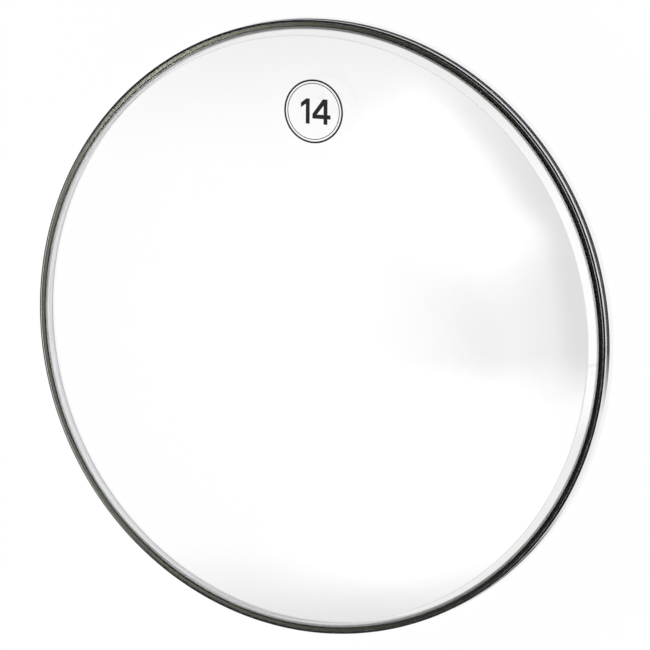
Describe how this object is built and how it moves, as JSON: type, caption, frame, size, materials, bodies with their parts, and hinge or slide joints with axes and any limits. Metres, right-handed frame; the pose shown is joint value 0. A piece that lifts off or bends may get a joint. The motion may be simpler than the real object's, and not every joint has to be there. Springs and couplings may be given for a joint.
{
  "type": "drum head",
  "caption": "Clear single-ply drum head: a formed film with a raised collar, its edge cast in resin inside an aluminium channel hoop.",
  "frame": {"origin": "centre of the hoop's bottom face, on the head's axis, where the head lies on a table", "axes": "+Z along the head's axis towards the playing face; +Y from the centre towards the place of the printed size mark; +X to the right as that mark is read"},
  "size_m": [0.3688, 0.3688, 0.014],
  "materials": {
    "hoop_aluminium": "mill finish with fine lines along the rim",
    "weld_aluminium": "ground flush",
    "clear_film": "clear, glossy",
    "dark_resin": "cast, satin"
  },
  "bodies": {
    "root": {"flesh_hoop": "hoop_aluminium", "hoop_seam_weld": "weld_aluminium", "drum_film": "clear_film", "potting_resin": "dark_resin"}
  },
  "joints": []
}
